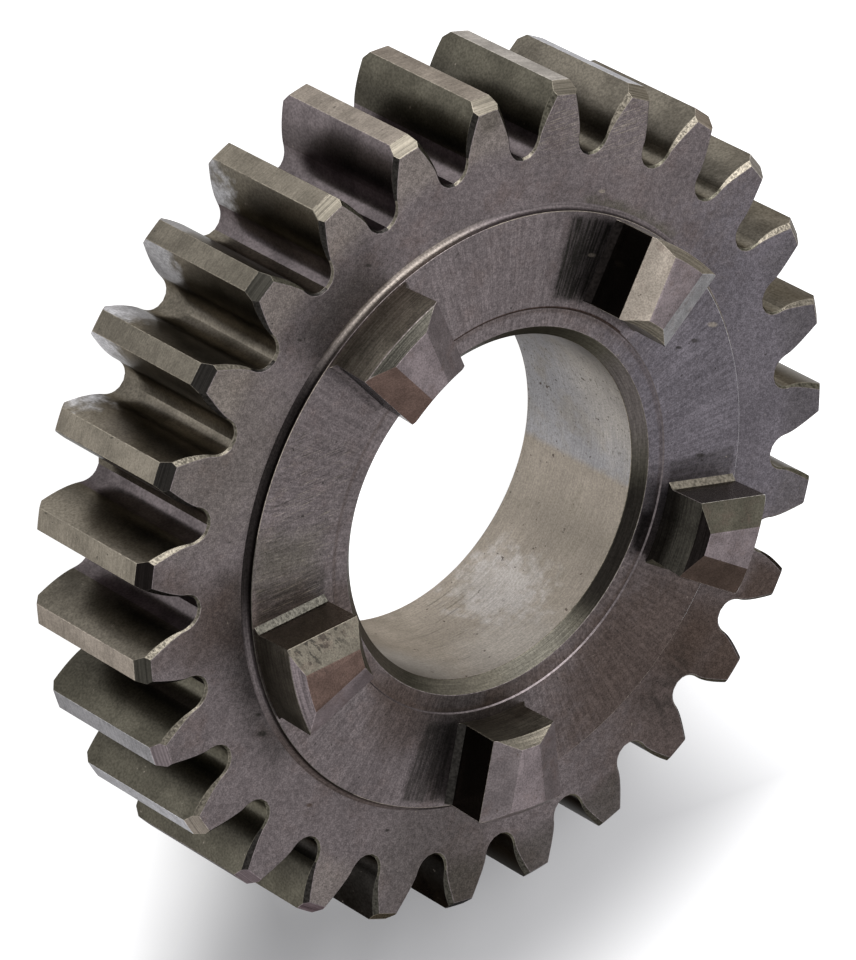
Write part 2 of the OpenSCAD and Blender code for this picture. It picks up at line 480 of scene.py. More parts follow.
# Streaks that run out from the bore, as a grinding cup leaves them
tree, given, result = new_group("radial_streaks", {"Spacing": 0.2, "Length": 3.0}, {"Streaks": 0.0})
place_now = group_node(tree, "place_on_gear")
HUB_MIDDLE = 22.0
out = add(tree, "CombineXYZ", Z=reckon(tree, "DIVIDE", place_now["Radius"], given["Length"])).outputs[0]
round_place = scaled(tree, place_now["Heading"], reckon(tree, "DIVIDE", HUB_MIDDLE, given["Spacing"]))
streaks = noise(tree, reckon_vector(tree, "ADD", round_place, out))
feed(tree, result["Streaks"], fade(tree, streaks, start=0.35, end=0.65))

# Scratches and scuffs that run one way
tree, given, result = new_group(
    "scratches", {"Heading": 0.0, "Spacing": 0.15, "Length": 2.0, "Share": 0.1}, {"Scratch": 0.0}
)
place_now = group_node(tree, "place_on_gear")["Place"]
swing = reckon(tree, "MULTIPLY", given["Heading"], -1.0)
swung = add(tree, "VectorRotate", {"rotation_type": "Z_AXIS"}, Vector=place_now, Angle=swing).outputs[0]
parts = add(tree, "SeparateXYZ", Vector=swung).outputs
along = reckon(tree, "DIVIDE", parts["X"], given["Length"])
beside_it = reckon(tree, "DIVIDE", parts["Y"], given["Spacing"])
above = reckon(tree, "DIVIDE", parts["Z"], given["Spacing"])
here = add(tree, "CombineXYZ", X=along, Y=beside_it, Z=above).outputs[0]
scratch = noise(tree, here, detail=3.0, roughness=0.65)
edge = reckon(tree, "SUBTRACT", 0.78, reckon(tree, "MULTIPLY", given["Share"], 0.5))
feed(tree, result["Scratch"], fade(tree, scratch, edge, reckon(tree, "ADD", edge, 0.06)))

# Small ragged pits and specks
tree, given, result = new_group("pits", {"Size": 0.4, "Share": 0.1}, {"Pit": 0.0})
here = scaled(tree, group_node(tree, "place_on_gear")["Place"], reckon(tree, "DIVIDE", 1.0, given["Size"]))
edge = reckon(tree, "SUBTRACT", 0.76, reckon(tree, "MULTIPLY", given["Share"], 0.6))
specks = noise(tree, here, detail=3.0, roughness=0.55)
feed(tree, result["Pit"], fade(tree, specks, edge, reckon(tree, "ADD", edge, 0.05)))

# One stain or mark at a place of its own, longer one way if it is squeezed the other ways
tree, given, result = new_group(
    "spot", {"Centre": (0, 0, 0), "Reach": 3.0, "Squeeze": (1, 1, 1), "Ragged": 0.4}, {"Spot": 0.0}
)
place_now = group_node(tree, "place_on_gear")["Place"]
away = reckon_vector(tree, "SUBTRACT", place_now, given["Centre"])
away = reckon_vector(tree, "MULTIPLY", away, given["Squeeze"])
near = reckon(tree, "DIVIDE", reckon_vector(tree, "LENGTH", away), given["Reach"])
bumps = noise(tree, scaled(tree, place_now, 0.9), detail=4.0, roughness=0.65)
bumps = reckon(tree, "SUBTRACT", bumps, 0.5)
bumps = reckon(tree, "MULTIPLY", reckon(tree, "MULTIPLY", bumps, 4.0), given["Ragged"])
near = reckon(tree, "ADD", near, bumps)
feed(tree, result["Spot"], fade(tree, near, start=1.0, end=0.35))

# A stain between two radii and on both sides of one bearing from the bore, given as an angle
tree, given, result = new_group(
    "sector",
    {"Bearing": 0.0, "Half Angle": 0.2, "Inner": 0.0, "Outer": 40.0, "Soft": 1.0, "Ragged": 0.3},
    {"Sector": 0.0},
)
place_now = group_node(tree, "place_on_gear")
towards = add(
    tree, "CombineXYZ", X=reckon(tree, "COSINE", given["Bearing"]), Y=reckon(tree, "SINE", given["Bearing"])
).outputs[0]
swing = reckon(tree, "ARCCOSINE", reckon_vector(tree, "DOT_PRODUCT", place_now["Heading"], towards))
beyond_angle = reckon(tree, "SUBTRACT", swing, given["Half Angle"])
beyond_side = reckon(tree, "MULTIPLY", beyond_angle, place_now["Radius"])
beyond_inner = reckon(tree, "SUBTRACT", given["Inner"], place_now["Radius"])
beyond_outer = reckon(tree, "SUBTRACT", place_now["Radius"], given["Outer"])
beyond = reckon(tree, "MAXIMUM", beyond_side, reckon(tree, "MAXIMUM", beyond_inner, beyond_outer))
bumps = noise(tree, scaled(tree, place_now["Place"], 1.1), detail=4.0, roughness=0.65)
bumps = reckon(tree, "SUBTRACT", bumps, 0.5)
bumps = reckon(tree, "MULTIPLY", reckon(tree, "MULTIPLY", bumps, 6.0), given["Ragged"])
beyond = reckon(tree, "ADD", beyond, bumps)
inside = reckon(tree, "MULTIPLY", given["Soft"], -1.0)
feed(tree, result["Sector"], fade(tree, beyond, given["Soft"], inside))


# Sockets of a Mix node that mixes colours, and a radius that takes in the whole gear
MIX_FACTOR, MIX_FIRST, MIX_SECOND, MIX_RESULT = 0, 6, 7, 2
WHOLE_GEAR = 40.0


class Finish:
    """A finish of the steel: layers over the colour that each face was given."""

    def __init__(self, name, roughness):
        self.material = bpy.data.materials.new(name)
        self.material.use_nodes = True
        self.tree = self.material.node_tree
        self.shader = self.tree.nodes["Principled BSDF"]
        self.shader.inputs["Metallic"].default_value = 1.0
        self.shader.inputs["Specular Tint"].default_value = (0.4, 0.39, 0.38, 1)
        self.colour = add(self.tree, "Attribute", {"attribute_name": "steel_colour"}).outputs["Color"]
        self.roughness = roughness
        self.relief = None
        finishes[name] = self.material

    def mask(self, name, **values):
        """The first output of one of the shared groups."""
        return group_node(self.tree, name, **values)[0]

    def sector(self, bearing, half_angle, inner=0.0, outer=WHOLE_GEAR, soft=1.0, ragged=0.3):
        """The mask of a stain that is placed by angles in degrees and radii."""
        turn = {"Bearing": math.radians(bearing), "Half_Angle": math.radians(half_angle)}
        return self.mask("sector", Inner=inner, Outer=outer, Soft=soft, Ragged=ragged, **turn)

    def both(self, *masks):
        """The share of a surface that all of the masks cover."""
        whole = masks[0]
        for mask in masks[1:]:
            whole = reckon(self.tree, "MULTIPLY", whole, mask)
        return whole

    def dim(self, mask, low, high):
        """Multiplies the colour by a factor that goes from low to high with the mask."""
        factor = add(self.tree, "MapRange", Value=mask, To_Min=low, To_Max=high).outputs["Result"]
        self.colour = scaled(self.tree, self.colour, factor)

    def stain(self, mask, colour, strength=1.0):
        """Covers the colour with another one where the mask is 1, by a strength."""
        made = add(self.tree, "Mix", {"data_type": "RGBA"})
        feed(self.tree, made.inputs[MIX_FACTOR], reckon(self.tree, "MULTIPLY", mask, strength))
        feed(self.tree, made.inputs[MIX_FIRST], self.colour)
        feed(self.tree, made.inputs[MIX_SECOND], colour)
        self.colour = made.outputs[MIX_RESULT]

    def stain_spots(self, spots, z):
        """Stains on one level, each given by its x, y, reach, tone and strength."""
        for x, y, reach, tone, strength in spots:
            self.stain(self.mask("spot", Centre=(x, y, z), Reach=reach, Ragged=0.15), tone, strength)

    def stain_nicks(self, nicks, z, squeeze, strength):
        """Small marks on one level, longer along x, each given by its x, y, reach and tone."""
        for x, y, reach, tone in nicks:
            mark = self.mask("spot", Centre=(x, y, z), Reach=reach, Squeeze=(1, squeeze, 1), Ragged=0.1)
            self.stain(mark, tone, strength)

    def stain_sectors(self, sectors, **where):
        """Stains with the same radii and edge, each given by its bearing, half angle, tone and strength."""
        for bearing, half_angle, tone, strength in sectors:
            self.stain(self.sector(bearing, half_angle, **where), tone, strength)

    def roughen(self, mask, amount):
        """Makes the surface rougher where the mask is 1."""
        self.roughness = reckon(self.tree, "ADD", self.roughness, reckon(self.tree, "MULTIPLY", mask, amount))

    def carve(self, mask, depth):
        """Lowers the surface by a depth in millimetres where the mask is 1."""
        cut = reckon(self.tree, "MULTIPLY", mask, -depth)
        self.relief = cut if self.relief is None else reckon(self.tree, "ADD", self.relief, cut)

    def done(self):
        """Feeds the shader."""
        feed(self.tree, self.shader.inputs["Base Color"], self.colour)
        feed(self.tree, self.shader.inputs["Roughness"], self.roughness)
        if self.relief is not None:
            bump = add(self.tree, "Bump", Strength=1.0, Distance=1 / MM_PER_METRE, Height=self.relief)
            self.tree.links.new(bump.outputs[0], self.shader.inputs["Normal"])


ring = Finish("ring_face", roughness=0.46)
grain = ring.mask("grain", Size=0.14)
ring.stain(ring.mask("clouds", Size=2.6, Cover=0.35), REDDISH, 0.25)
# Oil and heat have coloured the ring in broad patches: bluish at the right, brown at the lower right and
# lighter at the left
ring.stain_spots(
    [
        (30.0, 16.0, 27.0, BLUISH, 0.9),
        (31.0, -15.0, 17.5, BROWN, 0.7),
        (10.0, -36.0, 10.0, BROWN, 0.6),
        (-33.0, 3.0, 12.0, STONE, 0.3),
        (-13.1, 32.3, 1.7, CHARCOAL, 0.7),
        (4.0, -31.0, 9.0, SMOKE, 0.35),
    ],
    z=RING_WIDTH,
)
# Darker beside the fillet at the foot of the hub: a painted reflection of the dog at the upper left, painted
# shade at the lower left, and narrower dark bands at the top and lower right
ring.stain(ring.sector(146, 9, inner=26.4, outer=30.5, soft=2.8), CHARCOAL, 0.68)
ring.stain(ring.sector(-145, 20, inner=26.0, outer=28.0, soft=2.4), CHARCOAL, 0.72)
ring.stain(ring.sector(-158, 6, inner=27.0, outer=32.0, soft=2.4), BROWN, 0.7)
ring.stain(ring.sector(78, 12, inner=26.2, outer=26.8, soft=0.7), OLIVE, 0.8)
ring.stain(ring.sector(-21, 6, inner=26.4, outer=31.5, soft=2.0), BROWN, 0.9)
# Tooth faces made lighter or darker round the gear: painted light and shade, with some heat colour
ring.stain_sectors(
    [
        (138, 32, CREAM, 0.35),
        (-100, 8, CREAM, 0.25),
        (-64, 20, SMOKE, 0.55),
        (-16, 11, BROWN, 0.85),
        (-161, 7, BROWN, 0.35),
        (22, 24, SMOKE, 0.3),
    ],
    inner=31.8,
    soft=1.2,
)
# Marks drawn outwards beside the hub, and the grinding marks on the teeth at the top
drawn = ring.mask("radial_streaks", Spacing=0.4, Length=2.0)
ring.stain(ring.both(ring.sector(61, 8, inner=26.8, outer=29.0, soft=1.2), drawn), BROWN, 0.35)
ring.stain(ring.both(ring.sector(-29, 6, inner=28.0, outer=33.0, soft=1.5), drawn), CHARCOAL, 0.5)
ground = ring.mask("scratches", Heading=0.36, Spacing=0.11, Length=3.0, Share=0.5)
ring.stain(ring.both(ring.sector(93, 11, inner=31.0, outer=36.0, soft=2.0), ground), CREAM, 0.7)
ring.stain(ring.mask("scratches", Heading=0.5, Spacing=0.12, Length=1.6, Share=0.12), CREAM, 0.35)
# Single specks and nicks
ring.stain_nicks(
    [
        (1.5, 27.5, 0.5, CREAM),
        (-18.4, -20.2, 0.8, CHARCOAL),
        (-19.4, -18.6, 0.5, CHARCOAL),
        (-11.0, -26.2, 0.5, BROWN),
        (-1.5, -28.2, 0.4, CHARCOAL),
        (-26.5, 12.9, 0.4, CHARCOAL),
        (-21.5, 19.5, 0.5, CHARCOAL),
    ],
    z=RING_WIDTH,
    squeeze=2.2,
    strength=0.85,
)
ring.stain(ring.mask("pits", Size=0.55, Share=0.12), CHARCOAL, 0.75)
ring.stain(ring.mask("pits", Size=0.43, Share=0.08), CREAM, 0.6)
ring.dim(grain, 0.7, 1.3)
ring.dim(ring.mask("grain", Size=0.38), 0.8, 1.2)
ring.dim(ring.mask("clouds", Size=7.0, Cover=0.5), 0.93, 1.07)
ring.roughen(ring.mask("clouds", Size=3.0, Cover=0.5), 0.08)
ring.carve(grain, 0.004)
ring.done()

land_finish = Finish("land", roughness=0.4)
lines = land_finish.mask("turning_lines", Spacing=0.16, Sweep=30.0)
grain = land_finish.mask("grain", Size=0.16)
land_finish.dim(lines, 0.88, 1.12)
land_finish.dim(grain, 0.84, 1.16)
land_finish.dim(land_finish.mask("clouds", Size=3.0, Cover=0.5), 0.85, 1.12)
land_finish.stain(land_finish.mask("pits", Size=0.6, Share=0.12), CHARCOAL, 0.7)
land_finish.carve(grain, 0.002)
land_finish.carve(lines, 0.002)
land_finish.done()

cone = Finish("tip_cone", roughness=0.34)
cone.shader.inputs["Specular Tint"].default_value = (0.15, 0.15, 0.15, 1)
lines = cone.mask("turning_lines", Spacing=0.11, Sweep=4.0)
cone.dim(lines, 0.62, 1.25)
cone.dim(cone.mask("grain", Size=0.2), 0.9, 1.1)
cone.carve(lines, 0.006)
cone.done()

broken = Finish("broken_edge", roughness=0.36)
chatter = broken.mask("grain", Size=0.22)
broken.dim(chatter, 0.45, 1.55)
broken.carve(chatter, 0.012)
broken.done()

# The flanks run in oil. They are painted darker deep in the gaps, as painted shade, and brighter at their back
# ends on the left, as painted highlights.
flank = Finish("flank", roughness=0.3)
grain = flank.mask("grain", Size=0.2)
gap_shade = fade(flank.tree, group_node(flank.tree, "place_on_gear")["Radius"], start=35.6, end=33.4)
flank.stain(gap_shade, CHARCOAL, 0.45)
flank_highlight = flank.mask("spot", Centre=(-32.4, 14.0, 0.0), Reach=15.5, Squeeze=(1, 1, 2.7), Ragged=0.2)
flank.stain(fade(flank.tree, flank_highlight, start=0.1, end=0.9), SILVER, 0.6)
brightest_highlight = flank.mask("spot", Centre=(-35.5, 6.5, 0.0), Reach=6.0, Squeeze=(1, 1, 1.3), Ragged=0.2)
flank.stain(brightest_highlight, GLINT_WHITE, 0.8)
flank.stain(flank.mask("pits", Size=0.5, Share=0.1), CREAM, 0.6)
flank.dim(grain, 0.75, 1.25)
flank.dim(flank.mask("clouds", Size=4.0, Cover=0.5), 0.8, 1.15)
flank.carve(grain, 0.002)
flank.done()

root = Finish("root", roughness=0.3)
root.dim(root.mask("grain", Size=0.2), 0.75, 1.25)
root.dim(root.mask("clouds", Size=4.0, Cover=0.5), 0.7, 1.1)
root.done()

back = Finish("back_face", roughness=0.42)
lines = back.mask("turning_lines", Spacing=0.25, Sweep=6.0)
back.dim(lines, 0.86, 1.12)
back.dim(back.mask("grain", Size=0.15), 0.88, 1.12)
back.dim(back.mask("clouds", Size=8.0, Cover=0.5), 0.85, 1.08)
back.stain(back.mask("scratches", Heading=1.1, Spacing=0.2, Length=3.0, Share=0.1), CREAM, 0.5)
back.carve(lines, 0.003)
back.done()

# Hub: the raised annulus that carries the dogs, turned with a fillet at its foot and a shallow step
# round the bore, and then ground lightly across.
HUB_Z = 15.02
STEP_R = 17.65
STEP_DEPTH = 0.11
BORE_R = 15.0
FRONT_CHAMFER = 1.0
BACK_CHAMFER = 0.65
FILLET_ROWS = 6
TURNED = TEETH * TURNED_COLUMNS
turned_angles = [FIRST_TOOTH - HALF_STEP + math.tau * i / TURNED for i in range(TURNED)]


def turned_ring(profile, finish, colour):
    """Faces turned round the bore from places given as radius and height."""
    rows = [[polar(r, a, z) for a in turned_angles + turned_angles[:1]] for r, z in profile]
    grid(rows, finish, colour)


fillet = [
    (HUB_R + HUB_FILLET - HUB_FILLET * math.sin(t), RING_WIDTH + HUB_FILLET - HUB_FILLET * math.cos(t))
    for t in steps(0, math.pi / 2, FILLET_ROWS)
]
turned_ring(fillet + [(HUB_R, HUB_Z)], "hub_edge", PLAIN)
turned_ring([(STEP_R, HUB_Z), (STEP_R - STEP_DEPTH, HUB_Z - STEP_DEPTH)], "step_edge", PLAIN)
chamfer_r = BORE_R + FRONT_CHAMFER
inner_z = HUB_Z - STEP_DEPTH
turned_ring([(STEP_R - STEP_DEPTH, inner_z), (chamfer_r, inner_z)], "hub_face", PLAIN)

hub = Finish("hub_face", roughness=0.4)
grain = hub.mask("grain", Size=0.14)
streaks = hub.mask("radial_streaks", Spacing=0.22, Length=4.0)
hub.stain(hub.mask("clouds", Size=2.6, Cover=0.35), REDDISH, 0.2)
hub.stain_spots(
    [
        (20.0, 12.0, 18.0, BLUISH, 0.95),
        (22.0, -13.0, 15.0, BROWN, 0.8),
        (-4.0, -16.9, 6.0, BROWN, 0.6),
        (4.0, -16.5, 8.0, CHARCOAL, 0.6),
        (-14.0, -9.0, 4.0, BROWN, 0.6),
    ],
    z=HUB_Z,
)
# Dark streaked patches beside the flanks of the dogs: painted reflections and shade of the dark dog flanks in
# the ground face, broken by the grinding streaks
for bearing, half_angle, strength in ((88.5, 5.5, 1.0), (-89, 5.0, 0.8), (-158.5, 3.5, 0.7), (13.5, 3.0, 0.6)):
    painted_flank_reflection = hub.sector(bearing, half_angle, inner=18.4, outer=25.4, soft=0.3, ragged=0.1)
    hub.stain(hub.both(painted_flank_reflection, fade(hub.tree, streaks, start=-0.7, end=0.9)), CHARCOAL, strength)
# Coarser grinding marks at the left
coarse_place = hub.sector(187, 21, inner=18.0, outer=26.0)
for heading, spacing, length, share, tone, strength in (
    (0.4, 0.12, 3.0, 0.42, CHARCOAL, 0.55),
    (0.42, 0.1, 2.4, 0.4, CREAM, 0.5),
):
    ground = hub.mask("scratches", Heading=heading, Spacing=spacing, Length=length, Share=share)
    hub.stain(hub.both(coarse_place, ground), tone, strength)
# Brown line along the shallow step, and the narrow ring inside it darker, nearly black at the right
hub.stain(hub.sector(105, 40, inner=17.6, outer=17.76, soft=0.07, ragged=0.0), UMBER)
hub.stain(hub.sector(0, 180, inner=17.2, outer=17.5, soft=0.25, ragged=0.05), BROWN, 0.5)
hub.stain(hub.sector(-3, 6, inner=16.0, outer=17.5, soft=0.7), OIL_AND_SHADE_BLACK, 0.85)
hub.stain(hub.sector(-115, 14, inner=16.0, outer=18.0, soft=0.8), BROWN, 0.5)
hub.stain(hub.sector(-60, 14, inner=16.0, outer=17.4, soft=0.6), BROWN, 0.5)
hub.stain(hub.sector(193, 5, inner=19.5, outer=26.0, soft=2.0), OLIVE, 0.6)
# Single scratches and nicks
hub.stain_nicks(
    [
        (17.7, 17.4, 0.8, CREAM),
        (16.2, 15.9, 0.7, CHARCOAL),
        (14.6, 15.2, 0.5, CHARCOAL),
        (20.8, 6.1, 0.7, CHARCOAL),
        (1.7, 22.3, 0.6, CREAM),
        # the silver mark at the inner end of the dog at the upper right is a painted glint
        (6.0, 17.9, 0.7, SILVER),
    ],
    z=HUB_Z,
    squeeze=2.6,
    strength=0.8,
)
hub.stain(hub.mask("pits", Size=0.55, Share=0.12), CHARCOAL, 0.75)
hub.stain(hub.mask("pits", Size=0.43, Share=0.08), CREAM, 0.6)
hub.dim(grain, 0.7, 1.3)
hub.dim(hub.mask("grain", Size=0.38), 0.83, 1.17)
hub.dim(hub.mask("clouds", Size=7.0, Cover=0.5), 0.92, 1.08)
hub.dim(streaks, 0.88, 1.12)
hub.carve(grain, 0.0035)
hub.carve(streaks, 0.002)
hub.done()

hub_edge = Finish("hub_edge", roughness=0.42)
lines = hub_edge.mask("turning_lines", Spacing=0.1, Sweep=5.0)
# The fillet is painted lighter at the top, black at the left and the bottom and darker towards the lower right:
# painted light and shade round the turned fillet
hub_edge.stain_sectors(
    [
        (136, 18, CREAM, 0.6),
        (40, 16, SAND, 0.6),
        (180, 26, OIL_AND_SHADE_BLACK, 0.95),
        (-112, 22, BROWN, 0.7),
        (-80, 9, OIL_AND_SHADE_BLACK, 0.85),
        (-40, 10, LILAC, 0.6),
        (-20, 8, SMOKE, 0.9),
    ],
    soft=4.0,
)
hub_edge.dim(lines, 0.75, 1.2)
hub_edge.dim(hub_edge.mask("grain", Size=0.2), 0.7, 1.3)
hub_edge.carve(lines, 0.004)
hub_edge.done()

step_edge = Finish("step_edge", roughness=0.36)
step_edge.stain(step_edge.sector(105, 45, soft=3.0), BROWN, 0.9)
step_edge.dim(step_edge.mask("grain", Size=0.3), 0.7, 1.3)
step_edge.done()

# Bore: ground to size for a running fit, with a chamfer at each end; the back face is ground flat.
# The bore's light steel colour is partly painted reflection of the bright surroundings
BORE_STEEL_AND_REFLECTION = steel(141, 133, 123)
BORE_ROWS = 6
chamfer_end = inner_z - FRONT_CHAMFER
turned_ring([(chamfer_r, inner_z), (BORE_R, chamfer_end)], "bore_chamfer", OLIVE)
turned_ring([(BORE_R, z) for z in steps(chamfer_end, BACK_CHAMFER, BORE_ROWS)], "bore", BORE_STEEL_AND_REFLECTION)
turned_ring([(BORE_R, BACK_CHAMFER), (BORE_R + BACK_CHAMFER, 0.0)], "bore_chamfer", OLIVE)
turned_ring([(BORE_R + BACK_CHAMFER, 0.0), (BACK_RIM_R, 0.0)], "back_face", PLAIN)

bore = Finish("bore", roughness=0.38)
lines = bore.mask("turning_lines", Spacing=0.12, Sweep=8.0)
grain = bore.mask("grain", Size=0.16)
# A painted highlight on the bore wall at the lower right
bore_highlight = bore.mask("spot", Centre=(11.6, -9.5, 6.0), Reach=5.0, Squeeze=(1, 1, 0.8), Ragged=0.45)
bore.stain(bore_highlight, GLINT_WHITE, 0.22)
# Brighter and bluer at the upper right, with a sharp boundary: painted reflection
bore.stain(bore.sector(53, 43, soft=0.4, ragged=0.05), PEARL, 0.95)
bore.stain(bore.sector(-12, 6, soft=3.0), STONE, 0.35)
bore.stain(bore.mask("clouds", Size=2.5, Cover=0.4), SAND, 0.5)
# Painted reflection: lighter near the front rim, below and at the upper right
for place_of, reach, strength in (
    ((-3.0, -15.0, 12.5), 8.0, 0.8),
    ((8.0, -13.0, 13.5), 7.0, 0.5),
    ((11.0, 10.0, 13.5), 9.0, 0.75),
):
    bore.stain(bore.mask("spot", Centre=place_of, Reach=reach, Ragged=0.1), PALE, strength)
speckled = bore.mask("pits", Size=0.3, Share=0.25)
bore.stain(bore.both(bore.sector(38, 25, soft=4.0), speckled), OLIVE, 0.65)
bore.stain(bore.mask("pits", Size=0.6, Share=0.14), BROWN, 0.8)
scored = fade(bore.tree, bore.mask("turning_lines", Spacing=0.35, Sweep=2.2), start=0.9, end=1.0)
bore.stain(bore.both(bore.sector(-58, 14, soft=3.0), scored), OLIVE, 0.55)
bore.dim(lines, 0.9, 1.1)
bore.dim(grain, 0.84, 1.16)
bore.dim(bore.mask("clouds", Size=5.0, Cover=0.5), 0.9, 1.1)
bore.carve(grain, 0.003)
bore.done()

chamfer = Finish("bore_chamfer", roughness=0.34)
lines = chamfer.mask("turning_lines", Spacing=0.1, Sweep=6.0)
# The chamfer is painted lighter or darker round the bore by where it faces: painted light and shade, black at
# the right and light at the lower left
chamfer.stain_sectors([(-9, 26, OIL_AND_SHADE_BLACK, 0.9), (-136, 22, CREAM, 0.7), (-82, 16, SAND, 0.4)], soft=3.0)
chamfer.stain(chamfer.sector(-52, 15, soft=2.0), SMOKE, 0.85)
chamfer.stain(chamfer.sector(42, 18, soft=3.0), PLAIN, 0.6)
chamfer.dim(lines, 0.75, 1.2)
chamfer.dim(chamfer.mask("grain", Size=0.2), 0.8, 1.2)
chamfer.carve(lines, 0.005)
chamfer.done()

# Dogs: five blocks left standing when the gaps between them were milled. Their flanks lean so that
# they hold in engagement, and their tops have a flat middle and a sloping shoulder on each side.
DOGS = 5
DOG_HEIGHT = 5.1
DOG_HALF = math.radians(9.5)
DOG_OUTER = 25.7
DOG_INNER = 18.5
DOG_CONE = 0.82
LEAN = math.tan(math.radians(2.4))
SHOULDER = 2.24
SLOPE = math.tan(math.radians(21.5))
DOG_FOOT = 0.5
# Faces along half of a dog's flat top, and along its shoulder
TOP_COLUMNS = 4
SHOULDER_COLUMNS = 5
wall_top = DOG_HEIGHT - DOG_CONE
flank_top = (DOG_HEIGHT - SHOULDER * SLOPE) / (1 + LEAN * SLOPE)
foot_top = DOG_FOOT / (1 + LEAN)
# Tones of each dog, counter-clockwise from the first: top, clockwise and counter-clockwise shoulder, outer and
# inner cone, the strip along the foot of its two flanks, the end walls and the flanks. They are partly stains
# and partly painted light and shade, lighter on faces that look towards the light.
DOG_TONES = [
    (LILAC, BROWN, OLIVE, OLIVE, OIL_AND_SHADE_BLACK, OLIVE, SAND, SMOKE, PALE),
    (LILAC, PEARL, CREAM, SAND, SAND, PLAIN, OIL_AND_SHADE_BLACK, PALE, STONE),
    (LILAC, PLAIN, REDDISH, SMOKE, OLIVE, PALE, PLAIN, SAND, SILVER),
    (REDDISH, STONE, LILAC, LILAC, STONE, SMOKE, OLIVE, STONE, SAND),
    (LILAC, PLAIN, PLAIN, PLAIN, STONE, CHARCOAL, STONE, STONE, STONE),
]


def beside(r, offset):
    """Angle at a radius that lies an offset beyond a dog's side line."""
    return DOG_HALF + math.asin(offset / r)


def dog_end(wall_r, away):
    """Columns of one end wall of a dog from its middle to its side: their angles and their top corners.

    away is 1 at the outer end, where the cone leans towards the bore, and -1 at the inner end."""
    top_r = wall_r - away * DOG_CONE
    top_half = beside(top_r, -SHOULDER)
    cone_half = beside(wall_r, DOG_CONE / SLOPE - SHOULDER)
    angles = steps(0, top_half, TOP_COLUMNS) + steps(top_half, cone_half, SHOULDER_COLUMNS)[1:]
    rims = []
    for a in angles:
        if a <= top_half:
            rims.append((top_r, a, DOG_HEIGHT))
        else:
            lift = math.sin(a - DOG_HALF) * SLOPE
            r = (wall_r + away * (SHOULDER * SLOPE - DOG_CONE)) / (1 - away * lift)
            rims.append((r, a, wall_top + away * (wall_r - r)))
    return angles, rims


for dog, tones in enumerate(DOG_TONES):
    top_tone, cw_tone, ccw_tone, outer_tone, inner_tone, cw_foot, ccw_foot, wall_tone, flank_tone = tones
    centre = dog * math.tau / DOGS

    def on_dog(r, angle, z, side):
        """Place on one side of this dog's middle, above the hub."""
        return polar(r, centre + side * angle, HUB_Z + z)

    ends = {}
    for wall_r, away, cone_tone in ((DOG_OUTER, 1, outer_tone), (DOG_INNER, -1, inner_tone)):
        angles, rims = dog_end(wall_r, away)
        for side in (-1, 1):
            low = [on_dog(wall_r, a, 0, side) for a in angles]
            high = [on_dog(wall_r, a, wall_top, side) for a in angles]
            rim = [on_dog(r, a, z, side) for r, a, z in rims]
            grid([low, high], "dog_wall", wall_tone)
            grid([high, rim], "dog_cone", cone_tone)
            base = on_dog(wall_r, beside(wall_r, DOG_FOOT), 0, side)
            ramp = on_dog(wall_r, beside(wall_r, foot_top * LEAN), foot_top, side)
            peak = on_dog(wall_r, beside(wall_r, flank_top * LEAN), flank_top, side)
            face((low[-1], high[-1], peak, ramp, base), "dog_wall", wall_tone)
            ends[away, side] = (low, rim, base, ramp, peak)
    for side in (-1, 1):
        low_o, rim_o, base_o, ramp_o, peak_o = ends[1, side]
        low_i, rim_i, base_i, ramp_i, peak_i = ends[-1, side]
        face((ramp_o, peak_o, peak_i, ramp_i), "dog_flank", flank_tone)
        face((base_o, ramp_o, ramp_i, base_i), "dog_foot", cw_foot if side < 0 else ccw_foot)
        shoulder = [peak_o] + rim_o[: TOP_COLUMNS - 1 : -1] + rim_i[TOP_COLUMNS:] + [peak_i]
        face(shoulder, "dog_top", cw_tone if side < 0 else ccw_tone)
        nearest = [
            min(range(TURNED), key=lambda i, a=a: abs(math.remainder(turned_angles[i] - a, math.tau)))
            for a in (centre, centre + side * math.pi / DOGS)
        ]
        count = (side * (nearest[1] - nearest[0])) % TURNED
        turns = [turned_angles[(nearest[0] + side * i) % TURNED] for i in range(count + 1)]
        rim_of_hub = [polar(HUB_R, a, HUB_Z) for a in turns]
        rim_of_step = [polar(STEP_R, a, HUB_Z) for a in turns]
        face(rim_of_hub + rim_of_step[::-1] + low_i + [base_i, base_o] + low_o[::-1], "hub_face", PLAIN)
    flat_top = []
    for away in (1, -1):
        flat_top += ends[away, -away][1][TOP_COLUMNS:0:-1] + ends[away, away][1][: TOP_COLUMNS + 1]
    face(flat_top, "dog_top", top_tone)

dog_top = Finish("dog_top", roughness=0.38)
grain = dog_top.mask("grain", Size=0.14)
# Scuffs that the dogs of the sliding gear have left on the shoulder of one dog
scuffed = dog_top.mask("spot", Centre=(-20.7, -9.6, 19.5), Reach=4.6, Ragged=0.1)
scuffs = dog_top.mask("scratches", Heading=-0.5, Spacing=0.42, Length=1.2, Share=0.5)
dog_top.stain(dog_top.both(scuffed, scuffs), CHARCOAL, 0.75)
dog_top.stain(dog_top.mask("clouds", Size=1.6, Cover=0.35), REDDISH, 0.3)
dog_top.stain(dog_top.mask("pits", Size=0.45, Share=0.14), BROWN, 0.7)
dog_top.dim(grain, 0.76, 1.24)
dog_top.dim(dog_top.mask("clouds", Size=2.2, Cover=0.5), 0.86, 1.12)
dog_top.carve(grain, 0.004)
dog_top.done()

dog_cone = Finish("dog_cone", roughness=0.36)
lines = dog_cone.mask("turning_lines", Spacing=0.1, Sweep=4.0)
dog_cone.dim(lines, 0.6, 1.36)
dog_cone.dim(dog_cone.mask("grain", Size=0.16), 0.75, 1.25)
dog_cone.carve(lines, 0.006)
dog_cone.done()

